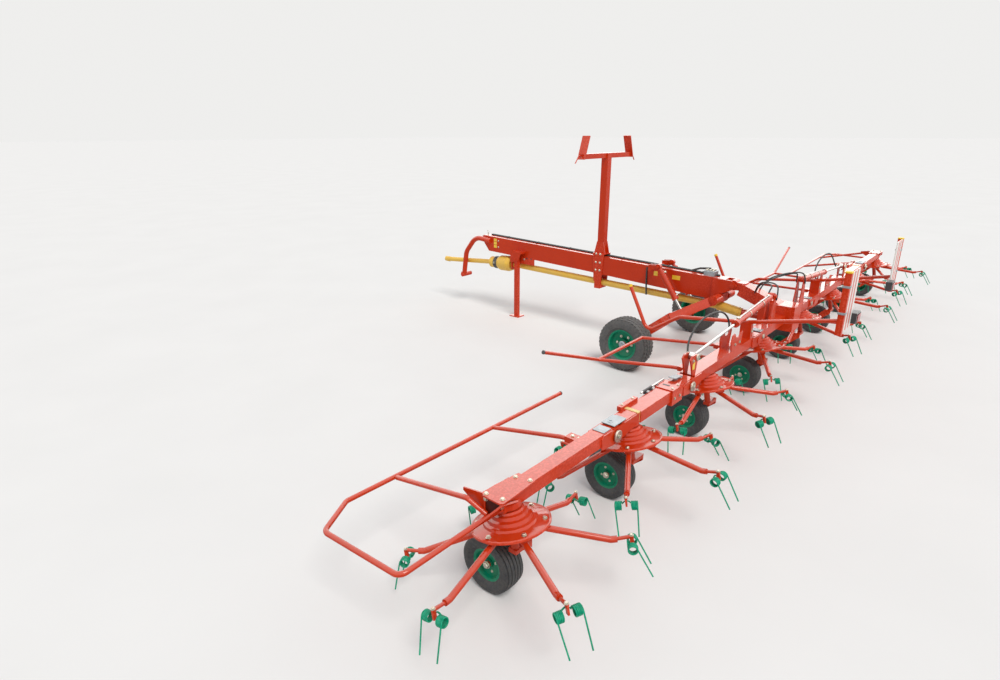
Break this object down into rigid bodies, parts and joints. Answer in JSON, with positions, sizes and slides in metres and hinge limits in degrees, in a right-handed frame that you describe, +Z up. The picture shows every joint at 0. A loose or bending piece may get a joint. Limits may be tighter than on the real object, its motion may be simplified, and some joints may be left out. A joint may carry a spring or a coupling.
{
  "type": "hay tedder",
  "caption": "Trailed hay tedder with a row of spring-tined rotors on a jointed beam, guard tubes, mast, swing-arm transport wheels and a long drawbar on its parking stand.",
  "frame": {"origin": "centre of the bounding box at floor level", "axes": "forward, towards the tractor, is -Y; the machine's left is +X; up is +Z; the rotor row lies along X"},
  "size_m": [11.408, 6.605, 2.7503],
  "materials": {
    "red_paint": "gloss",
    "green_paint": "gloss",
    "green_spring": "satin",
    "tyre": "matte",
    "yellow_guard": "satin",
    "hose": "matte",
    "chrome": "polished",
    "board": "satin"
  },
  "bodies": {
    "chassis": {"drawbar": "red_paint", "mast": "red_paint", "driveline": "yellow_guard", "hoses": "hose"},
    "stand": {"parking_stand": "red_paint"},
    "centre": {"centre_section": "red_paint"},
    "inner_left": {"inner_section_left": "red_paint", "marker_board_left": "board"},
    "middle_left": {"middle_section_left": "red_paint"},
    "outer_left": {"outer_section_left": "red_paint"},
    "fold_barrel_left": {"fold_barrel_left": "red_paint"},
    "fold_rod_left": {"fold_rod_left": "chrome"},
    "swing_left": {"swing_arm_left": "red_paint"},
    "transport_wheel_left": {"transport_tyre_left": "tyre", "transport_rim_left": "green_paint"},
    "lift_barrel_left": {"lift_barrel_left": "red_paint"},
    "lift_rod_left": {"lift_rod_left": "chrome"},
    "inner_right": {"inner_section_right": "red_paint", "marker_board_right": "board"},
    "middle_right": {"middle_section_right": "red_paint"},
    "outer_right": {"outer_section_right": "red_paint"},
    "fold_barrel_right": {"fold_barrel_right": "red_paint"},
    "fold_rod_right": {"fold_rod_right": "chrome"},
    "swing_right": {"swing_arm_right": "red_paint"},
    "transport_wheel_right": {"transport_tyre_right": "tyre", "transport_rim_right": "green_paint"},
    "lift_barrel_right": {"lift_barrel_right": "red_paint"},
    "lift_rod_right": {"lift_rod_right": "chrome"},
    "rotor_1": {"rotor_1": "red_paint", "tines_1": "green_spring"},
    "small_wheel_1": {"small_tyre_1": "tyre", "small_rim_1": "green_paint"},
    "rotor_2": {"rotor_2": "red_paint", "tines_2": "green_spring"},
    "small_wheel_2": {"small_tyre_2": "tyre", "small_rim_2": "green_paint"},
    "rotor_3": {"rotor_3": "red_paint", "tines_3": "green_spring"},
    "small_wheel_3": {"small_tyre_3": "tyre", "small_rim_3": "green_paint"},
    "rotor_4": {"rotor_4": "red_paint", "tines_4": "green_spring"},
    "small_wheel_4": {"small_tyre_4": "tyre", "small_rim_4": "green_paint"},
    "rotor_5": {"rotor_5": "red_paint", "tines_5": "green_spring"},
    "small_wheel_5": {"small_tyre_5": "tyre", "small_rim_5": "green_paint"},
    "rotor_6": {"rotor_6": "red_paint", "tines_6": "green_spring"},
    "small_wheel_6": {"small_tyre_6": "tyre", "small_rim_6": "green_paint"},
    "rotor_7": {"rotor_7": "red_paint", "tines_7": "green_spring"},
    "small_wheel_7": {"small_tyre_7": "tyre", "small_rim_7": "green_paint"},
    "rotor_8": {"rotor_8": "red_paint", "tines_8": "green_spring"},
    "small_wheel_8": {"small_tyre_8": "tyre", "small_rim_8": "green_paint"}
  },
  "joints": [
    {"name": "stand_fold", "type": "hinge", "parent": "chassis", "child": "stand", "pos_m": [0.135, -1.585, 0.93], "axis": [1, 0, 0], "range_deg": [0, 73]},
    {"name": "row_tilt", "type": "hinge", "parent": "chassis", "child": "centre", "pos_m": [0, 1.77, 1.03], "axis": [1, 0, 0], "range_deg": [0, 90]},
    {"name": "wing_fold_left", "type": "hinge", "parent": "centre", "child": "inner_left", "pos_m": [1, 2.375, 0.725], "axis": [0, -1, 0], "range_deg": [-3, 90]},
    {"name": "middle_float_left", "type": "hinge", "parent": "inner_left", "child": "middle_left", "pos_m": [2.6, 2.375, 0.725], "axis": [0, -1, 0], "range_deg": [-4, 8]},
    {"name": "outer_float_left", "type": "hinge", "parent": "middle_left", "child": "outer_left", "pos_m": [3.8, 2.375, 0.725], "axis": [0, -1, 0], "range_deg": [-4, 8]},
    {"name": "fold_barrel_swing_left", "type": "hinge", "parent": "centre", "child": "fold_barrel_left", "pos_m": [0.52, 2.375, 1.095], "axis": [0, -1, 0], "range_deg": [-3.2, 81.6]},
    {"name": "fold_rod_slide_left", "type": "slide", "parent": "fold_barrel_left", "child": "fold_rod_left", "axis": [0.9971, 0, -0.0767], "range_m": [-0.8305, 0.03]},
    {"name": "swing_arm_left", "type": "hinge", "parent": "chassis", "child": "swing_left", "pos_m": [0.19, 1.63, 0.851], "axis": [1, 0, 0], "range_deg": [0, 40]},
    {"name": "transport_wheel_spin_left", "type": "hinge", "parent": "swing_left", "child": "transport_wheel_left", "pos_m": [0.993, 0.889, 0.332], "axis": [1, 0, 0], "continuous": true},
    {"name": "lift_barrel_swing_left", "type": "hinge", "parent": "chassis", "child": "lift_barrel_left", "pos_m": [0.19, 0.842, 1.15], "axis": [1, 0, 0], "range_deg": [-0.5, 4.53]},
    {"name": "lift_rod_slide_left", "type": "slide", "parent": "lift_barrel_left", "child": "lift_rod_left", "axis": [0, 0.5809, -0.8139], "range_m": [-0.002, 0.3234]},
    {"name": "wing_fold_right", "type": "hinge", "parent": "centre", "child": "inner_right", "pos_m": [-1, 2.375, 0.725], "axis": [0, 1, 0], "range_deg": [-3, 90]},
    {"name": "middle_float_right", "type": "hinge", "parent": "inner_right", "child": "middle_right", "pos_m": [-2.6, 2.375, 0.725], "axis": [0, 1, 0], "range_deg": [-4, 8]},
    {"name": "outer_float_right", "type": "hinge", "parent": "middle_right", "child": "outer_right", "pos_m": [-3.8, 2.375, 0.725], "axis": [0, 1, 0], "range_deg": [-4, 8]},
    {"name": "fold_barrel_swing_right", "type": "hinge", "parent": "centre", "child": "fold_barrel_right", "pos_m": [-0.52, 2.375, 1.095], "axis": [0, 1, 0], "range_deg": [-3.2, 81.6]},
    {"name": "fold_rod_slide_right", "type": "slide", "parent": "fold_barrel_right", "child": "fold_rod_right", "axis": [-0.9971, 0, -0.0767], "range_m": [-0.8305, 0.03]},
    {"name": "swing_arm_right", "type": "hinge", "parent": "chassis", "child": "swing_right", "pos_m": [-0.19, 1.63, 0.851], "axis": [1, 0, 0], "range_deg": [0, 40]},
    {"name": "transport_wheel_spin_right", "type": "hinge", "parent": "swing_right", "child": "transport_wheel_right", "pos_m": [-0.993, 0.889, 0.332], "axis": [1, 0, 0], "continuous": true},
    {"name": "lift_barrel_swing_right", "type": "hinge", "parent": "chassis", "child": "lift_barrel_right", "pos_m": [-0.19, 0.842, 1.15], "axis": [1, 0, 0], "range_deg": [-0.5, 4.53]},
    {"name": "lift_rod_slide_right", "type": "slide", "parent": "lift_barrel_right", "child": "lift_rod_right", "axis": [0, 0.5809, -0.8139], "range_m": [-0.002, 0.3234]},
    {"name": "rotor_spin_1", "type": "hinge", "parent": "outer_left", "child": "rotor_1", "pos_m": [4.9, 2.375, 0.567], "axis": [0, -0.2079, 0.9781], "continuous": true},
    {"name": "small_wheel_spin_1", "type": "hinge", "parent": "outer_left", "child": "small_wheel_1", "pos_m": [4.9, 2.225, 0.2], "axis": [1, 0, 0], "continuous": true},
    {"name": "rotor_spin_2", "type": "hinge", "parent": "middle_left", "child": "rotor_2", "pos_m": [3.5, 2.375, 0.567], "axis": [0, -0.2079, 0.9781], "continuous": true},
    {"name": "small_wheel_spin_2", "type": "hinge", "parent": "middle_left", "child": "small_wheel_2", "pos_m": [3.5, 2.225, 0.2], "axis": [1, 0, 0], "continuous": true},
    {"name": "rotor_spin_3", "type": "hinge", "parent": "inner_left", "child": "rotor_3", "pos_m": [2.1, 2.375, 0.567], "axis": [0, -0.2079, 0.9781], "continuous": true},
    {"name": "small_wheel_spin_3", "type": "hinge", "parent": "inner_left", "child": "small_wheel_3", "pos_m": [2.1, 2.225, 0.2], "axis": [1, 0, 0], "continuous": true},
    {"name": "rotor_spin_4", "type": "hinge", "parent": "centre", "child": "rotor_4", "pos_m": [0.7, 2.375, 0.567], "axis": [0, -0.2079, 0.9781], "continuous": true},
    {"name": "small_wheel_spin_4", "type": "hinge", "parent": "centre", "child": "small_wheel_4", "pos_m": [0.7, 2.225, 0.2], "axis": [1, 0, 0], "continuous": true},
    {"name": "rotor_spin_5", "type": "hinge", "parent": "centre", "child": "rotor_5", "pos_m": [-0.7, 2.375, 0.567], "axis": [0, -0.2079, 0.9781], "continuous": true},
    {"name": "small_wheel_spin_5", "type": "hinge", "parent": "centre", "child": "small_wheel_5", "pos_m": [-0.7, 2.225, 0.2], "axis": [1, 0, 0], "continuous": true},
    {"name": "rotor_spin_6", "type": "hinge", "parent": "inner_right", "child": "rotor_6", "pos_m": [-2.1, 2.375, 0.567], "axis": [0, -0.2079, 0.9781], "continuous": true},
    {"name": "small_wheel_spin_6", "type": "hinge", "parent": "inner_right", "child": "small_wheel_6", "pos_m": [-2.1, 2.225, 0.2], "axis": [1, 0, 0], "continuous": true},
    {"name": "rotor_spin_7", "type": "hinge", "parent": "middle_right", "child": "rotor_7", "pos_m": [-3.5, 2.375, 0.567], "axis": [0, -0.2079, 0.9781], "continuous": true},
    {"name": "small_wheel_spin_7", "type": "hinge", "parent": "middle_right", "child": "small_wheel_7", "pos_m": [-3.5, 2.225, 0.2], "axis": [1, 0, 0], "continuous": true},
    {"name": "rotor_spin_8", "type": "hinge", "parent": "outer_right", "child": "rotor_8", "pos_m": [-4.9, 2.375, 0.567], "axis": [0, -0.2079, 0.9781], "continuous": true},
    {"name": "small_wheel_spin_8", "type": "hinge", "parent": "outer_right", "child": "small_wheel_8", "pos_m": [-4.9, 2.225, 0.2], "axis": [1, 0, 0], "continuous": true}
  ],
  "couplings": [
    {"joint": "fold_barrel_swing_left", "follows": "wing_fold_left", "ratio": 0.90111},
    {"joint": "fold_rod_slide_left", "follows": "wing_fold_left", "m_per_rad": -0.5255},
    {"joint": "lift_barrel_swing_left", "follows": "swing_arm_left", "ratio": 0.10074},
    {"joint": "lift_rod_slide_left", "follows": "swing_arm_left", "m_per_rad": 0.4561},
    {"joint": "fold_barrel_swing_right", "follows": "wing_fold_right", "ratio": 0.90111},
    {"joint": "fold_rod_slide_right", "follows": "wing_fold_right", "m_per_rad": -0.5255},
    {"joint": "lift_barrel_swing_right", "follows": "swing_arm_right", "ratio": 0.10074},
    {"joint": "lift_rod_slide_right", "follows": "swing_arm_right", "m_per_rad": 0.4561},
    {"joint": "rotor_spin_2", "follows": "rotor_spin_1", "ratio": -1},
    {"joint": "rotor_spin_3", "follows": "rotor_spin_1", "ratio": 1},
    {"joint": "rotor_spin_4", "follows": "rotor_spin_1", "ratio": -1},
    {"joint": "rotor_spin_5", "follows": "rotor_spin_1", "ratio": 1},
    {"joint": "rotor_spin_6", "follows": "rotor_spin_1", "ratio": -1},
    {"joint": "rotor_spin_7", "follows": "rotor_spin_1", "ratio": 1},
    {"joint": "rotor_spin_8", "follows": "rotor_spin_1", "ratio": -1}
  ]
}
